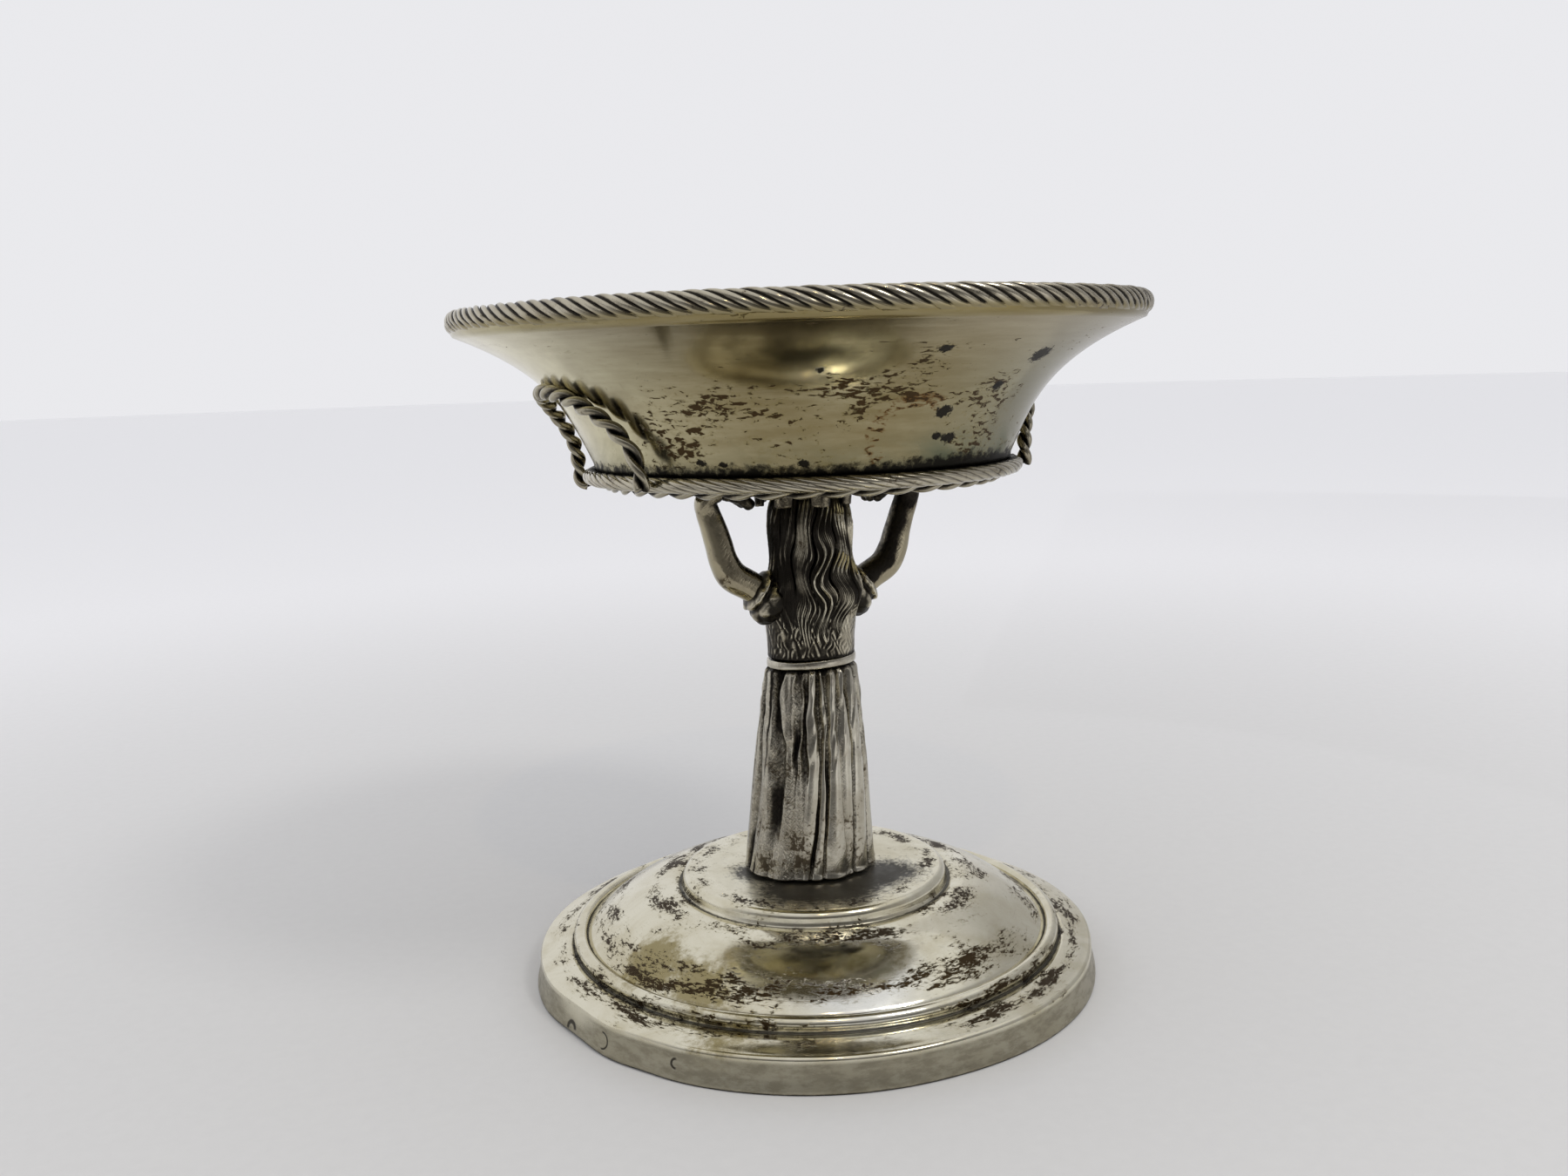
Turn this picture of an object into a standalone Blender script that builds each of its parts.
"""Silver dish carried by a standing figure on a stepped round foot.

Metres, +Z up. The origin is the middle of the foot's underside. The figure faces -Y and its left is +X,
so the two wire handles lie along the X axis.
"""

import math

import bmesh
import bpy
from mathutils import Vector

# Clearance wherever two pieces touch
SEAT_GAP = 0.0003

# Foot, spun from sheet and open underneath
FOOT_RADIUS = 0.0342
FOOT_WALL = 0.0010
FOOT_RIM_WALL = 0.0014
FOOT_BAND_HEIGHT = 0.0036
FOOT_BAND_DRAFT = 0.0005
FOOT_EDGE_ROUND = 0.0005
FOOT_LEDGE_RISE = 0.0008
BEAD_MIDDLE_RADIUS = 0.0288
BEAD_ROUND = 0.0008
DOME_TOP_RADIUS = 0.0167
DOME_RISE = 0.0052
DOME_SWELL = 1.9
STEP_RADIUS = 0.0161
STEP_HEIGHT = 0.0017
STEP_ROUND = 0.0008

# Stud, washer and nut that clamp the figure to the foot
STUD_RADIUS = 0.0015
STUD_IN_SKIRT = 0.0080
STUD_TAIL = 0.0012
STUD_CHAMFER = 0.0003
WASHER_RADIUS = 0.0048
WASHER_THICKNESS = 0.0006
NUT_ACROSS_FLATS = 0.0056
NUT_HEIGHT = 0.0024

# Skirt and belt
SKIRT_HEIGHT = 0.0254
HEM_HALF_WIDTH = 0.0076
HEM_HALF_DEPTH = 0.0066
SKIRT_FOLDS = 15
FOLD_DEPTH = 0.0005
FOLD_SWAY = 0.35
FOLD_DRIFT = 3.0
FOLD_START = 0.25
SKIRT_FALL = 0.75
WAIST_HALF_WIDTH = 0.0046
WAIST_FRONT = 0.0035
WAIST_BACK = 0.0037
WAIST_STEP = 0.0005
BELT_HEIGHT = 0.0011
BELT_THICKNESS = 0.0005

# Bust: heights above the waist, half widths across X, depths in front of and behind the axis
CHEST_HEIGHT = 0.0058
CHEST_HALF_WIDTH = 0.0054
CHEST_FRONT = 0.0051
CHEST_BACK = 0.0047
SHOULDER_HEIGHT = 0.0086
SHOULDER_HALF_WIDTH = 0.0056
SHOULDER_FRONT = 0.0042
SHOULDER_BACK = 0.0050
NECK_HEIGHT = 0.0114
NECK_FRONT = 0.0025
CHIN_HEIGHT = 0.0126
BROW_HEIGHT = 0.0164
HAIRLINE_HEIGHT = 0.0184
CHIN_FRONT = 0.0036
FACE_FRONT = 0.0041
HAIR_HALF_WIDTH = 0.0050
HAIR_BACK = 0.0050
HAIR_TAPER = 0.97
CROWN_HEIGHT = 0.0216
CROWN_RADIUS = 0.0026
HAIR_LOCKS = 10
HAIR_LOCK_DEPTH = 0.00035
HAIR_WAVE = 1.2
HAIR_SPREAD = 120.0
HAIR_FRAME = 0.0005
HAIR_HEM_HEIGHT = 0.0022
NOSE_LENGTH = 0.0019
NOSE_REACH = 0.0007
EYE_HOLLOW = 0.0004
EYE_ANGLE = 18.0
FACE_HALF_ANGLE = 34.0
SLEEVE_HEIGHT = 0.0072
SLEEVE_HALF_HEIGHT = 0.0028
SLEEVE_PUFF = 0.0027
SLEEVE_HALF_ANGLE = 36.0

# Arms and hands
UPPER_ARM_RADIUS = 0.0018
FOREARM_RADIUS = 0.0016
WRIST_RADIUS = 0.0013
SHOULDER_OUT = 0.0046
ELBOW_OUT = 0.0102
ELBOW_RISE = 0.0044
WRIST_OUT = 0.0126
WRIST_DROP = 0.0046
FINGERTIP_CLEARANCE = 0.0005
HAND_HALF_WIDTH = 0.0021
HAND_THICKNESS = 0.0024
PALM_SHARE = 0.4
HEEL_TAPER = 0.8
FINGER_TAPER = 0.65

# Capital of hanging leaves between the head and the bowl
CAPITAL_PLATE = 0.0010
LEAF_COUNT = 8
LEAF_LENGTH = 0.0032
LEAF_THICKNESS = 0.0005
LEAF_NOTCH = 0.15
LEAF_FLARE = 0.0004

# Bowl, raised from sheet
BOWL_BASE_RADIUS = 0.0243
BOWL_CORNER_ROUND = 0.0012
BOWL_WALL = 0.0009
RIM_RADIUS = 0.0400
LIP_SETBACK = 0.0008
LIP_EDGE = 0.0004
LIP_UPTURN = 0.0010
BOWL_HEIGHT = 0.0158
BOWL_LEAN = 0.43
BOWL_FLARE = 3.5

# Rope wires and the twisted ring
RIM_ROPE_RADIUS = 0.0011
RIM_STRANDS = 120
RIM_LAY = 3
BASE_ROPE_RADIUS = 0.0010
BASE_ROPE_SEAT = 50.0
BASE_STRANDS = 90
BASE_LAY = 5
ROPE_GROOVE = 0.00022
TWIST_STRAND_RADIUS = 0.00042
TWIST_FILLET = 0.6
TWIST_STRANDS = 2
UNDER_RING_TURNS = 32

# Handles
HANDLE_HALF_ANGLE = 32.0
HANDLE_RISE = 0.0094
HANDLE_STANDOFF = 0.0016
HANDLE_HOOK = 112.0
HANDLE_TURNS = 9

# Facets
ROUND_SEGMENTS = 36
FIGURE_COLUMNS = 4 * HAIR_LOCKS
FOLD_COLUMNS = 3 * SKIRT_FOLDS
ROPE_ROWS = 5
SKIRT_ROWS = 6
BUST_ROWS_PER_KEY = 2
ARM_ROWS_PER_KEY = 3
ARM_SIDES = 10
BOWL_WALL_ROWS = 6
HOOK_STEPS = 5
ARCH_STEPS = 30
TWIST_SIDES = 8
STEPS_PER_TURN = 8
STUD_SIDES = 16
NUT_SIDES = 24

# Heights that follow from the stack, from the table upwards
BEAD_MIDDLE_Z = FOOT_BAND_HEIGHT + FOOT_LEDGE_RISE + BEAD_ROUND
DOME_TOP_Z = BEAD_MIDDLE_Z + DOME_RISE
FOOT_TOP_Z = DOME_TOP_Z + STEP_HEIGHT
SKIRT_BASE_Z = FOOT_TOP_Z + SEAT_GAP
WAIST_Z = SKIRT_BASE_Z + SKIRT_HEIGHT
CROWN_Z = WAIST_Z + CROWN_HEIGHT
CAPITAL_BASE_Z = CROWN_Z + SEAT_GAP
CAPITAL_TOP_Z = CAPITAL_BASE_Z + CAPITAL_PLATE
BOWL_BASE_Z = CAPITAL_TOP_Z + SEAT_GAP
LIP_Z = BOWL_BASE_Z + BOWL_HEIGHT
STUD_BORE_RADIUS = STUD_RADIUS + SEAT_GAP
CAPITAL_INNER_RADIUS = max(HAIR_HALF_WIDTH, HAIR_BACK) + HAIR_LOCK_DEPTH + SEAT_GAP
CAPITAL_OUTER_RADIUS = CAPITAL_INNER_RADIUS + LEAF_THICKNESS + LEAF_FLARE

# Lip of the bowl and places of the wires round it
LIP_RADIUS = RIM_RADIUS - LIP_SETBACK
RIM_ROPE_MIDDLE_RADIUS = RIM_RADIUS - RIM_ROPE_RADIUS
RIM_SEAT_Z = LIP_Z + LIP_EDGE
RIM_ROPE_Z = RIM_SEAT_Z + SEAT_GAP + RIM_ROPE_RADIUS
CORNER_MIDDLE_RADIUS = BOWL_BASE_RADIUS - BOWL_CORNER_ROUND
CORNER_MIDDLE_Z = BOWL_BASE_Z + BOWL_CORNER_ROUND
BASE_ROPE_REACH = BOWL_CORNER_ROUND + SEAT_GAP + BASE_ROPE_RADIUS
BASE_ROPE_MIDDLE_RADIUS = CORNER_MIDDLE_RADIUS + BASE_ROPE_REACH * math.cos(math.radians(BASE_ROPE_SEAT))
BASE_ROPE_Z = CORNER_MIDDLE_Z - BASE_ROPE_REACH * math.sin(math.radians(BASE_ROPE_SEAT))
TWIST_RADIUS = 2 * TWIST_STRAND_RADIUS
UNDER_RING_RADIUS = BASE_ROPE_MIDDLE_RADIUS - BASE_ROPE_RADIUS - SEAT_GAP - TWIST_RADIUS
UNDER_RING_Z = BOWL_BASE_Z - SEAT_GAP - TWIST_RADIUS
HOOK_RADIUS = BASE_ROPE_RADIUS + SEAT_GAP + TWIST_RADIUS

SILVER = (0.66, 0.63, 0.55, 1.0)
PALE_SILVER = (0.76, 0.74, 0.67, 1.0)
DARK_SILVER = (0.42, 0.39, 0.34, 1.0)
STEEL = (0.35, 0.34, 0.33, 1.0)


def clear_scene():
    for item in list(bpy.data.objects):
        bpy.data.objects.remove(item, do_unlink=True)


def add_object(name, bm, colour, roughness):
    """Turns a finished mesh into a smooth shaded object with its own metal."""
    bmesh.ops.recalc_face_normals(bm, faces=bm.faces)
    mesh = bpy.data.meshes.new(name)
    bm.to_mesh(mesh)
    bm.free()
    mesh.shade_smooth()
    mesh.set_sharp_from_angle(angle=math.radians(40))
    metal = bpy.data.materials.new(name + "_metal")
    metal.use_nodes = True
    shader = metal.node_tree.nodes["Principled BSDF"]
    shader.inputs["Base Color"].default_value = colour
    shader.inputs["Roughness"].default_value = roughness
    shader.inputs["Metallic"].default_value = 1.0
    mesh.materials.append(metal)
    item = bpy.data.objects.new(name, mesh)
    bpy.context.scene.collection.objects.link(item)
    return item


def add_cutter(name, bm):
    cutter = add_object(name, bm, STEEL, 0.5)
    cutter.hide_render = True
    cutter.display_type = "WIRE"
    return cutter


def arc(middle, radius, start, end, count):
    """Points of a profile arc, angles in degrees from the outward direction, anticlockwise."""
    points = []
    for step in range(count):
        angle = math.radians(start + (end - start) * step / (count - 1))
        points.append((middle[0] + radius * math.cos(angle), middle[1] + radius * math.sin(angle)))
    return points


def turned(profile, segments, closed):
    """Spins a profile of (radius, height) points about the Z axis."""
    bm = bmesh.new()
    verts = [bm.verts.new((radius, 0.0, height)) for radius, height in profile]
    pairs = list(zip(verts, verts[1:]))
    if closed:
        pairs.append((verts[-1], verts[0]))
    edges = [bm.edges.new(pair) for pair in pairs]
    bmesh.ops.spin(bm, geom=verts + edges, cent=(0, 0, 0), axis=(0, 0, 1), angle=2 * math.pi,
                   steps=segments, use_merge=True)
    bmesh.ops.remove_doubles(bm, verts=bm.verts, dist=1e-7)
    return bm


def skin(rows, ring=False, shift=0):
    """Joins equal rows of points with quads. A ring joins its last row to its first, turned by shift
    columns. Otherwise both ends are closed with a fan."""
    bm = bmesh.new()
    count = len(rows[0])
    grid = [[bm.verts.new(point) for point in row] for row in rows]
    joins = [(low, high, 0) for low, high in zip(grid, grid[1:])]
    if ring:
        joins.append((grid[-1], grid[0], shift))
    for low, high, turn in joins:
        for j in range(count):
            k = (j + 1) % count
            bm.faces.new((low[j], low[k], high[(k + turn) % count], high[(j + turn) % count]))
    if not ring:
        for row in (grid[0], grid[-1]):
            middle = bm.verts.new(sum((vert.co for vert in row), Vector()) / count)
            for j in range(count):
                bm.faces.new((row[j], row[(j + 1) % count], middle))
    return bm


def around(count, radius_at, height_at):
    """A closed row of points round the figure's axis. Angle 0 is the front, -Y, and 90 degrees is +X."""
    row = []
    for j in range(count):
        angle = 2 * math.pi * j / count
        radius = radius_at(angle)
        row.append(Vector((radius * math.sin(angle), -radius * math.cos(angle), height_at(angle))))
    return row


def oval(angle, half_width, front, back):
    """Radius of an oval that is deeper or shallower in front than behind."""
    depth = front if math.cos(angle) > 0 else back
    return 1.0 / math.hypot(math.sin(angle) / half_width, math.cos(angle) / depth)


def smooth_keys(keys, place):
    """Smooth curve through tuples at whole places, Catmull-Rom."""
    last = len(keys) - 1
    i = min(int(place), last - 1)
    t = place - i
    before, start, end, after = (keys[max(0, min(last, i + n))] for n in (-1, 0, 1, 2))
    return tuple(
        0.5 * (2 * b + (c - a) * t + (2 * a - 5 * b + 4 * c - d) * t ** 2 + (3 * b - a - 3 * c + d) * t ** 3)
        for a, b, c, d in zip(before, start, end, after))


def bump(distance):
    """Rounded bump: 1 in the middle, 0 from a distance of 1 outwards."""
    return math.sqrt(max(0.0, 1.0 - distance * distance))


def foot_outline(inset, round_points):
    """The stepped line from the stud hole out to the table, moved down and in by the sheet's thickness."""
    step = (STEP_RADIUS - STEP_ROUND, FOOT_TOP_Z - STEP_ROUND)
    bead = (BEAD_MIDDLE_RADIUS, BEAD_MIDDLE_Z)
    edge_radius = FOOT_RADIUS - FOOT_BAND_DRAFT
    edge = (edge_radius - FOOT_EDGE_ROUND, FOOT_BAND_HEIGHT - FOOT_EDGE_ROUND)
    dome_span = BEAD_MIDDLE_RADIUS - DOME_TOP_RADIUS
    dome_steps = round_points + 3
    line = arc(step, STEP_ROUND, 90, 0, round_points)
    for i in range(dome_steps):
        t = i / dome_steps
        line.append((DOME_TOP_RADIUS + dome_span * t, DOME_TOP_Z - DOME_RISE * t ** DOME_SWELL))
    line += arc(bead, BEAD_ROUND, 80, -45, round_points)
    line += arc(edge, FOOT_EDGE_ROUND, 80, 5, round_points - 1)
    return [(radius - inset, height - inset) for radius, height in line]


def make_foot():
    outer = foot_outline(0.0, 3)
    inner = [point for point in foot_outline(FOOT_WALL, 3) if point[0] < BEAD_MIDDLE_RADIUS - FOOT_WALL]
    band_inner = FOOT_RADIUS - FOOT_RIM_WALL
    profile = [(STUD_BORE_RADIUS, FOOT_TOP_Z)] + outer
    profile += [(FOOT_RADIUS, 0.0), (band_inner, 0.0)]
    profile += [(band_inner - FOOT_BAND_DRAFT, FOOT_BAND_HEIGHT - FOOT_WALL)]
    profile += inner[::-1]
    profile.append((STUD_BORE_RADIUS, FOOT_TOP_Z - FOOT_WALL))
    add_object("foot_shell", turned(profile, ROUND_SEGMENTS, closed=True), PALE_SILVER, 0.28)


def make_fixings():
    """Stud, washer and nut under the foot's top plate."""
    washer_top = FOOT_TOP_Z - FOOT_WALL - SEAT_GAP
    washer_low = washer_top - WASHER_THICKNESS
    nut_top = washer_low - SEAT_GAP
    nut_low = nut_top - NUT_HEIGHT
    stud_low = nut_low - STUD_TAIL
    stud_top = SKIRT_BASE_Z + STUD_IN_SKIRT
    tip = STUD_RADIUS - STUD_CHAMFER
    stud = [(0.0, stud_top), (tip, stud_top), (STUD_RADIUS, stud_top - STUD_CHAMFER),
            (STUD_RADIUS, stud_low + STUD_CHAMFER), (tip, stud_low), (0.0, stud_low)]
    add_object("foot_stud", turned(stud, STUD_SIDES, closed=False), STEEL, 0.45)
    washer = [(STUD_BORE_RADIUS, washer_top), (WASHER_RADIUS, washer_top),
              (WASHER_RADIUS, washer_low), (STUD_BORE_RADIUS, washer_low)]
    add_object("foot_washer", turned(washer, NUT_SIDES, closed=True), STEEL, 0.45)

    def bore(angle):
        return STUD_BORE_RADIUS

    def flats(angle):
        sixth = math.pi / 3
        return NUT_ACROSS_FLATS / 2 / math.cos(angle % sixth - sixth / 2)

    rows = [around(NUT_SIDES, bore, lambda angle: nut_low), around(NUT_SIDES, flats, lambda angle: nut_low),
            around(NUT_SIDES, flats, lambda angle: nut_top), around(NUT_SIDES, bore, lambda angle: nut_top)]
    add_object("foot_nut", skin(rows, ring=True), STEEL, 0.45)


def waist(angle):
    return oval(angle, WAIST_HALF_WIDTH, WAIST_FRONT, WAIST_BACK)


def skirt_radius(angle, share):
    """Skirt section at a share of its height below the belt, 0, to the hem, 1."""
    fall = share ** SKIRT_FALL
    top = WAIST_HALF_WIDTH + WAIST_STEP, WAIST_FRONT + WAIST_STEP, WAIST_BACK + WAIST_STEP
    hem = HEM_HALF_WIDTH, HEM_HALF_DEPTH, HEM_HALF_DEPTH
    section = [start + (end - start) * fall for start, end in zip(top, hem)]
    sway = FOLD_SWAY * math.sin(2 * angle + FOLD_DRIFT * share)
    fold = math.cos(SKIRT_FOLDS * angle + sway)
    return oval(angle, *section) + FOLD_DEPTH * fold * min(1.0, share / FOLD_START)


def make_skirt():
    belt_zone = BELT_HEIGHT / 2 + SEAT_GAP
    fall = SKIRT_HEIGHT - belt_zone
    bore_top = SKIRT_BASE_Z + STUD_IN_SKIRT + SEAT_GAP
    rows = [around(FOLD_COLUMNS, lambda angle: STUD_BORE_RADIUS, lambda angle: bore_top),
            around(FOLD_COLUMNS, lambda angle: STUD_BORE_RADIUS, lambda angle: SKIRT_BASE_Z)]
    for row in range(SKIRT_ROWS + 1):
        share = (1 - row / SKIRT_ROWS) ** 1.5
        height = WAIST_Z - belt_zone - fall * share
        rows.append(around(FOLD_COLUMNS, lambda angle: skirt_radius(angle, share), lambda angle: height))
    rows.append(around(FOLD_COLUMNS, waist, lambda angle: WAIST_Z - belt_zone))
    rows.append(around(FOLD_COLUMNS, waist, lambda angle: WAIST_Z - SEAT_GAP / 2))
    add_object("figure_skirt", skin(rows), DARK_SILVER, 0.35)


def make_belt():
    low = WAIST_Z - BELT_HEIGHT / 2
    high = WAIST_Z + BELT_HEIGHT / 2

    def inside(angle):
        return waist(angle) + SEAT_GAP

    def outside(angle):
        return waist(angle) + SEAT_GAP + BELT_THICKNESS

    rows = [around(FIGURE_COLUMNS, radius, lambda angle: height)
            for radius, height in ((inside, low), (outside, low), (outside, high), (inside, high))]
    add_object("figure_belt", skin(rows, ring=True), SILVER, 0.3)


def bust_keys():
    """Sections from the waist to the crown: height, half width, depth in front, depth behind."""
    belt_top = BELT_HEIGHT / 2 + SEAT_GAP
    return [(belt_top, WAIST_HALF_WIDTH + WAIST_STEP, WAIST_FRONT + WAIST_STEP, WAIST_BACK + WAIST_STEP),
            (CHEST_HEIGHT, CHEST_HALF_WIDTH, CHEST_FRONT, CHEST_BACK),
            (SHOULDER_HEIGHT, SHOULDER_HALF_WIDTH, SHOULDER_FRONT, SHOULDER_BACK),
            (NECK_HEIGHT, HAIR_HALF_WIDTH, NECK_FRONT, HAIR_BACK),
            (CHIN_HEIGHT, HAIR_HALF_WIDTH, CHIN_FRONT, HAIR_BACK),
            (BROW_HEIGHT, HAIR_HALF_WIDTH, FACE_FRONT, HAIR_BACK),
            (HAIRLINE_HEIGHT, HAIR_HALF_WIDTH * HAIR_TAPER, FACE_FRONT, HAIR_BACK * HAIR_TAPER),
            (CROWN_HEIGHT, CROWN_RADIUS, CROWN_RADIUS, CROWN_RADIUS)]


def bust_radius(angle, section):
    """Radius of bodice, sleeves, face and hair on one section."""
    height, half_width, front, back = section
    radius = oval(angle, half_width, front, back)
    turn = abs(math.degrees(math.atan2(math.sin(angle), math.cos(angle))))
    sleeve = math.hypot((turn - 90) / SLEEVE_HALF_ANGLE, (height - SLEEVE_HEIGHT) / SLEEVE_HALF_HEIGHT)
    radius += SLEEVE_PUFF * bump(sleeve)
    on_head = height > NECK_HEIGHT
    in_face = turn < FACE_HALF_ANGLE and height < HAIRLINE_HEIGHT
    if on_head and in_face:
        eye = math.hypot((turn - EYE_ANGLE) / EYE_ANGLE * 2, (height - BROW_HEIGHT) / NOSE_LENGTH)
        nose_middle = BROW_HEIGHT - NOSE_LENGTH
        nose = bump((height - nose_middle) / NOSE_LENGTH) * bump(turn / EYE_ANGLE)
        return radius + NOSE_REACH * nose - EYE_HOLLOW * bump(eye)
    down_the_back = turn > HAIR_SPREAD and height > HAIR_HEM_HEIGHT
    if height < CROWN_HEIGHT and (on_head or down_the_back):
        wave = math.cos(HAIR_LOCKS * angle + HAIR_WAVE * math.sin(height / NOSE_LENGTH))
        radius += HAIR_LOCK_DEPTH * wave
    if on_head and height < HAIRLINE_HEIGHT:
        radius += HAIR_FRAME * bump((turn - FACE_HALF_ANGLE) / FACE_HALF_ANGLE)
    return radius


def bust_rows(gap):
    """Rows of the bust, swelled by a gap for the piece that is fitted against it."""
    keys = bust_keys()
    belt_top = WAIST_Z + keys[0][0]
    rows = [around(FIGURE_COLUMNS, lambda angle: waist(angle) + gap, lambda angle: height)
            for height in (WAIST_Z + SEAT_GAP / 2, belt_top)]
    for step in range(BUST_ROWS_PER_KEY * (len(keys) - 1) + 1):
        section = smooth_keys(keys, step / BUST_ROWS_PER_KEY)
        rows.append(around(FIGURE_COLUMNS, lambda angle: bust_radius(angle, section) + gap,
                           lambda angle: WAIST_Z + section[0]))
    return rows


def make_bust():
    add_object("figure_bust", skin(bust_rows(0.0)), DARK_SILVER, 0.38)


def arm_keys():
    """Arm from shoulder to fingertips: X, Z, half thickness in that plane, half width along Y."""
    shoulder_z = WAIST_Z + SLEEVE_HEIGHT
    elbow_z = shoulder_z + ELBOW_RISE
    under_bowl = BOWL_BASE_Z - SEAT_GAP
    wrist_z = under_bowl - WRIST_DROP
    half_hand = HAND_THICKNESS / 2
    palm_z = under_bowl - half_hand
    tip_out = CAPITAL_OUTER_RADIUS + FINGERTIP_CLEARANCE
    palm_out = WRIST_OUT + (tip_out - WRIST_OUT) * PALM_SHARE
    return [(SHOULDER_OUT, shoulder_z, UPPER_ARM_RADIUS, UPPER_ARM_RADIUS),
            (ELBOW_OUT, elbow_z, UPPER_ARM_RADIUS, UPPER_ARM_RADIUS),
            ((ELBOW_OUT + WRIST_OUT) / 2, (elbow_z + wrist_z) / 2, FOREARM_RADIUS, FOREARM_RADIUS),
            (WRIST_OUT, wrist_z, WRIST_RADIUS, WRIST_RADIUS),
            (WRIST_OUT - half_hand / 4, palm_z - half_hand, half_hand, HAND_HALF_WIDTH * HEEL_TAPER),
            (palm_out, palm_z, half_hand, HAND_HALF_WIDTH),
            (tip_out, palm_z, half_hand * FINGER_TAPER, HAND_HALF_WIDTH * FINGER_TAPER)]


def make_arm(name, side, bust_cutter):
    """Bare arm and flat hand, swept along a bent line and butted against the sleeve."""
    keys = arm_keys()
    steps = ARM_ROWS_PER_KEY * (len(keys) - 1)
    line = [smooth_keys(keys, step / ARM_ROWS_PER_KEY) for step in range(steps + 1)]
    rows = []
    for step, (out, height, thick, wide) in enumerate(line):
        back = line[max(0, step - 1)]
        ahead = line[min(steps, step + 1)]
        along = Vector((ahead[0] - back[0], 0.0, ahead[1] - back[1])).normalized()
        across = Vector((-along.z, 0.0, along.x))
        row = []
        for j in range(ARM_SIDES):
            angle = 2 * math.pi * j / ARM_SIDES
            point = Vector((out, 0.0, height)) + across * thick * math.cos(angle)
            point.y += wide * math.sin(angle)
            point.z = min(point.z, BOWL_BASE_Z - SEAT_GAP)
            point.x *= side
            row.append(point)
        rows.append(row)
    arm = add_object(name, skin(rows), SILVER, 0.32)
    cut = arm.modifiers.new("butt_on_sleeve", "BOOLEAN")
    cut.operation = "DIFFERENCE"
    cut.solver = "EXACT"
    cut.object = bust_cutter


def make_capital():
    """Round plate on the crown with leaves that hang round the head."""
    per_leaf = 4
    columns = LEAF_COUNT * per_leaf
    tip_radius = CAPITAL_INNER_RADIUS + LEAF_THICKNESS
    notch_z = CAPITAL_BASE_Z - LEAF_LENGTH * LEAF_NOTCH
    tip_z = CAPITAL_BASE_Z - LEAF_LENGTH

    def leaf_end(angle):
        column = round(angle / (2 * math.pi) * columns) % per_leaf
        return tip_z if column in (0, 1) else notch_z

    rows = [around(columns, lambda angle: CAPITAL_INNER_RADIUS, lambda angle: CAPITAL_BASE_Z),
            around(columns, lambda angle: CAPITAL_INNER_RADIUS, leaf_end),
            around(columns, lambda angle: tip_radius, leaf_end),
            around(columns, lambda angle: CAPITAL_OUTER_RADIUS, lambda angle: CAPITAL_BASE_Z),
            around(columns, lambda angle: CAPITAL_OUTER_RADIUS, lambda angle: CAPITAL_TOP_Z)]
    add_object("head_capital", skin(rows), SILVER, 0.35)


def bowl_wall(height):
    """Outer radius of the bowl at a height: a straight lean that flares out towards the lip."""
    share = max(0.0, min(1.0, (height - CORNER_MIDDLE_Z) / (LIP_Z - CORNER_MIDDLE_Z)))
    spread = LIP_RADIUS - BOWL_BASE_RADIUS
    return BOWL_BASE_RADIUS + spread * (BOWL_LEAN * share + (1 - BOWL_LEAN) * share ** BOWL_FLARE)


def make_bowl():
    """Thin shell whose lip is turned up behind the rim rope."""
    upturn_outer = RIM_ROPE_MIDDLE_RADIUS - RIM_ROPE_RADIUS - SEAT_GAP
    upturn_inner = upturn_outer - BOWL_WALL
    upturn_z = RIM_SEAT_Z + LIP_UPTURN
    outer = arc((CORNER_MIDDLE_RADIUS, CORNER_MIDDLE_Z), BOWL_CORNER_ROUND, -90, -30, 3)
    inner = []
    for step in range(BOWL_WALL_ROWS + 1):
        share = step / BOWL_WALL_ROWS
        height = CORNER_MIDDLE_Z + (LIP_Z - CORNER_MIDDLE_Z) * share
        below = max(CORNER_MIDDLE_Z, height - BOWL_WALL)
        above = min(LIP_Z, height + BOWL_WALL)
        lean = (bowl_wall(above) - bowl_wall(below)) / (above - below)
        inwards = Vector((-1.0, lean)).normalized() * BOWL_WALL
        outer.append((bowl_wall(height), height))
        inner.append((bowl_wall(height) + inwards.x, height + inwards.y))
    floor_z = BOWL_BASE_Z + BOWL_WALL
    inner = [point for point in inner if point[0] < upturn_inner]
    profile = [(0.0, floor_z), (CORNER_MIDDLE_RADIUS, floor_z)] + inner
    profile += [(upturn_inner, upturn_z), (upturn_outer, upturn_z), (upturn_outer, RIM_SEAT_Z)]
    profile += [(LIP_RADIUS, RIM_SEAT_Z)] + outer[::-1] + [(0.0, BOWL_BASE_Z)]
    add_object("bowl", turned(profile, ROUND_SEGMENTS, closed=False), SILVER, 0.25)


def rope_ring(middle_radius, middle_z, rope_radius, groove, strands, lay):
    """Ring of rope wire. Columns follow the strands, a ridge and a groove in turn, so the lay is true."""
    columns = 2 * strands
    rows = []
    for i in range(ROPE_ROWS):
        section = 2 * math.pi * i / ROPE_ROWS
        row = []
        for j in range(columns):
            turn = 2 * math.pi * j / columns - lay / strands * section
            depth = rope_radius - (groove if j % 2 else 0.0)
            reach = middle_radius + depth * math.cos(section)
            row.append(Vector((reach * math.cos(turn), reach * math.sin(turn),
                               middle_z + depth * math.sin(section))))
        rows.append(row)
    return skin(rows, ring=True, shift=-2 * lay)


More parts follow.
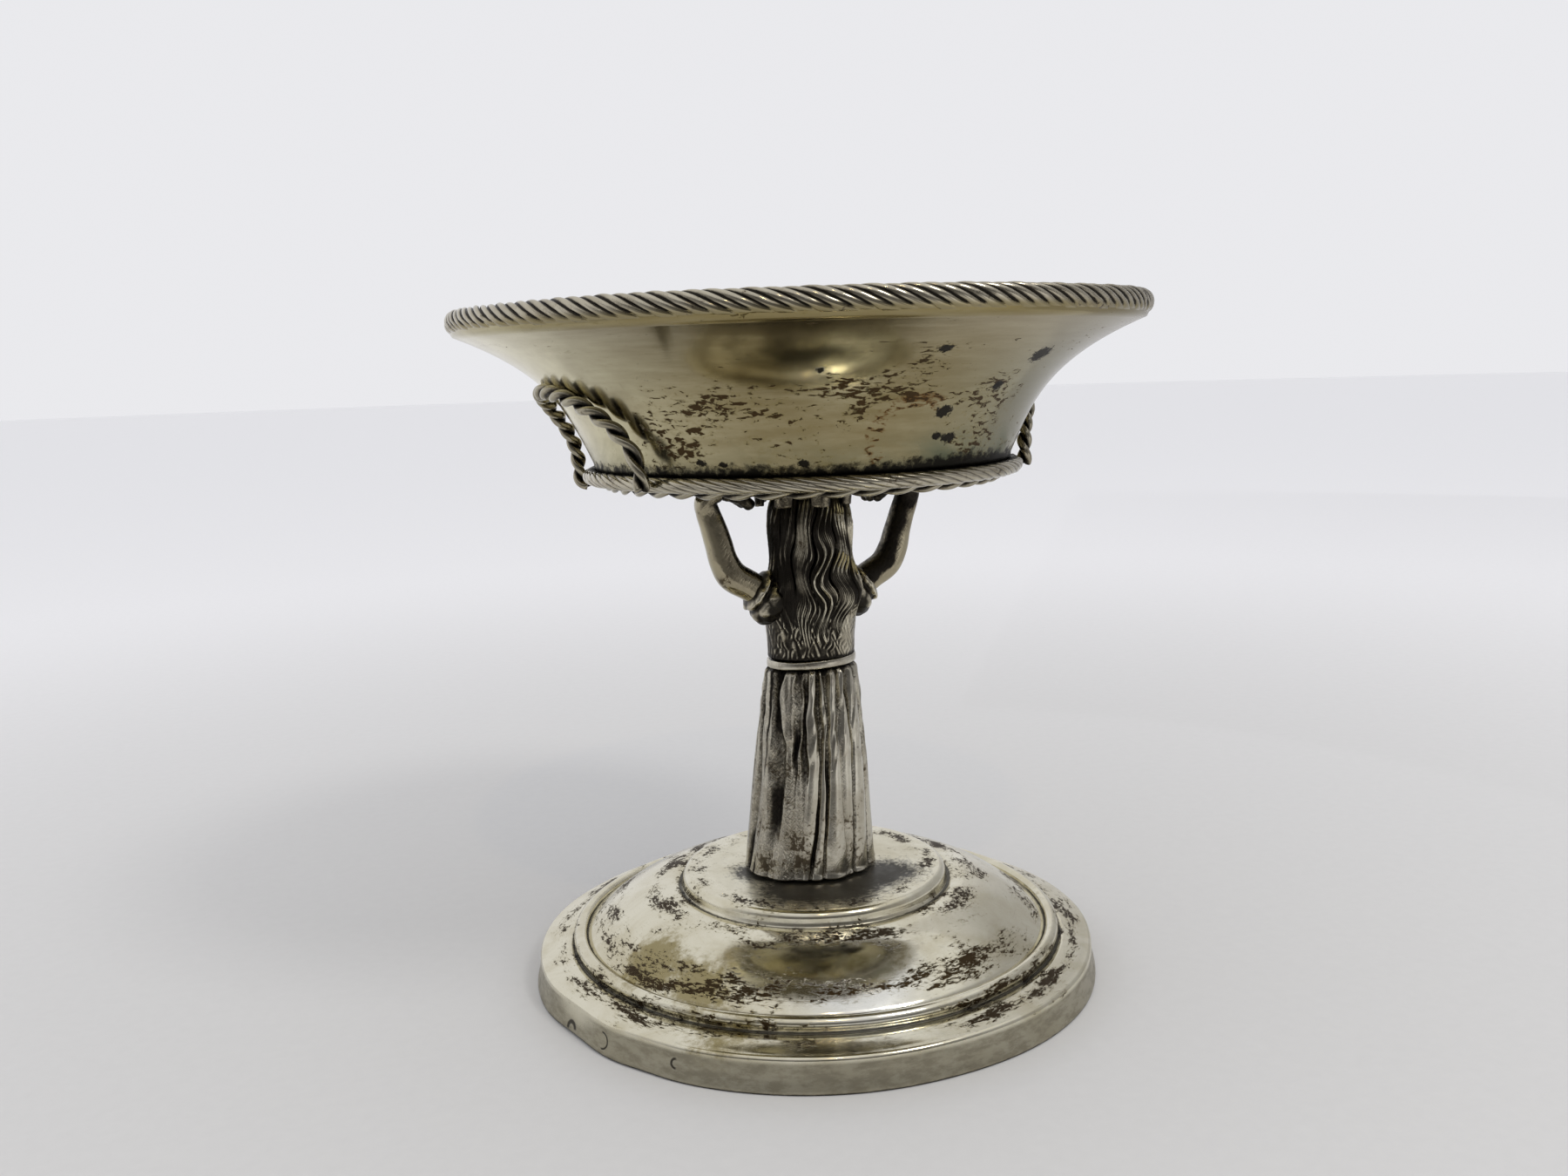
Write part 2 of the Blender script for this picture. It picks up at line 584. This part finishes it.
def twisted_pair(points, outwards, turns):
    """Two wires twisted together along an open line, as one solid with a waist between the strands."""
    last = len(points) - 1
    fillet = TWIST_STRAND_RADIUS * TWIST_FILLET
    rows = []
    for i, point in enumerate(points):
        along = (points[min(last, i + 1)] - points[max(0, i - 1)]).normalized()
        across = along.cross(outwards[i]).normalized()
        up = across.cross(along)
        twist = 2 * math.pi * turns * i / last
        row = []
        for j in range(TWIST_SIDES):
            lobe = 2 * math.pi * j / TWIST_SIDES
            radius = max(fillet, TWIST_RADIUS * abs(math.cos(lobe)))
            row.append(point + radius * (up * math.cos(lobe + twist) + across * math.sin(lobe + twist)))
        rows.append(row)
    return skin(rows)


def make_wires():
    rim = rope_ring(RIM_ROPE_MIDDLE_RADIUS, RIM_ROPE_Z, RIM_ROPE_RADIUS, ROPE_GROOVE, RIM_STRANDS, RIM_LAY)
    add_object("rim_rope", rim, PALE_SILVER, 0.35)
    base = rope_ring(BASE_ROPE_MIDDLE_RADIUS, BASE_ROPE_Z, BASE_ROPE_RADIUS, ROPE_GROOVE, BASE_STRANDS, BASE_LAY)
    add_object("base_rope", base, SILVER, 0.35)
    under = rope_ring(UNDER_RING_RADIUS, UNDER_RING_Z, TWIST_RADIUS, TWIST_STRAND_RADIUS,
                      TWIST_STRANDS * UNDER_RING_TURNS, TWIST_STRANDS)
    add_object("under_ring", under, DARK_SILVER, 0.4)


def handle_line():
    """Middle line of a handle as (angle from its middle, radius, height): an arch that stands off the
    wall, with both feet hooked under the base rope."""
    foot_radius = BASE_ROPE_MIDDLE_RADIUS + HOOK_RADIUS
    half_angle = math.radians(HANDLE_HALF_ANGLE)
    hook = []
    for step in range(HOOK_STEPS):
        bend = math.radians(-HANDLE_HOOK * (1 - step / HOOK_STEPS))
        hook.append((half_angle, BASE_ROPE_MIDDLE_RADIUS + HOOK_RADIUS * math.cos(bend),
                     BASE_ROPE_Z + HOOK_RADIUS * math.sin(bend)))
    arch = []
    for step in range(ARCH_STEPS + 1):
        turn = math.pi / 2 - math.pi * step / ARCH_STEPS
        height = BASE_ROPE_Z + HANDLE_RISE * math.cos(turn)
        wall = bowl_wall(height) + HANDLE_STANDOFF
        apart = wall - foot_radius
        reach = (wall + foot_radius + math.hypot(apart, HANDLE_STANDOFF / 3)) / 2
        if step in (0, ARCH_STEPS):
            reach = foot_radius
        arch.append((half_angle * math.sin(turn), reach, height))
    far_hook = [(-angle, radius, height) for angle, radius, height in hook[::-1]]
    return hook + arch + far_hook


def even_points(line, count):
    """Points at even spacing along a line."""
    lengths = [0.0]
    for start, end in zip(line, line[1:]):
        lengths.append(lengths[-1] + (end - start).length)
    points = []
    i = 0
    for step in range(count):
        want = lengths[-1] * step / (count - 1)
        while i < len(line) - 2 and lengths[i + 1] < want:
            i += 1
        share = (want - lengths[i]) / (lengths[i + 1] - lengths[i])
        points.append(line[i].lerp(line[i + 1], share))
    return points


def make_handle(name, side):
    line = [Vector((side * radius * math.cos(angle), side * radius * math.sin(angle), height))
            for angle, radius, height in handle_line()]
    points = even_points(line, HANDLE_TURNS * STEPS_PER_TURN + 1)
    hub = Vector((0.0, 0.0, BASE_ROPE_Z))
    outwards = []
    for point in points:
        flat = Vector((point.x, point.y, 0.0)).normalized() * BASE_ROPE_MIDDLE_RADIUS
        outwards.append((point - hub - flat).normalized())
    add_object(name, twisted_pair(points, outwards, HANDLE_TURNS), SILVER, 0.35)


def main():
    clear_scene()
    make_foot()
    make_fixings()
    make_skirt()
    make_belt()
    make_bust()
    bust_cutter = add_cutter("sleeve_cutter", skin(bust_rows(SEAT_GAP)))
    make_arm("left_arm", 1, bust_cutter)
    make_arm("right_arm", -1, bust_cutter)
    make_capital()
    make_bowl()
    make_wires()
    make_handle("left_handle", 1)
    make_handle("right_handle", -1)


main()
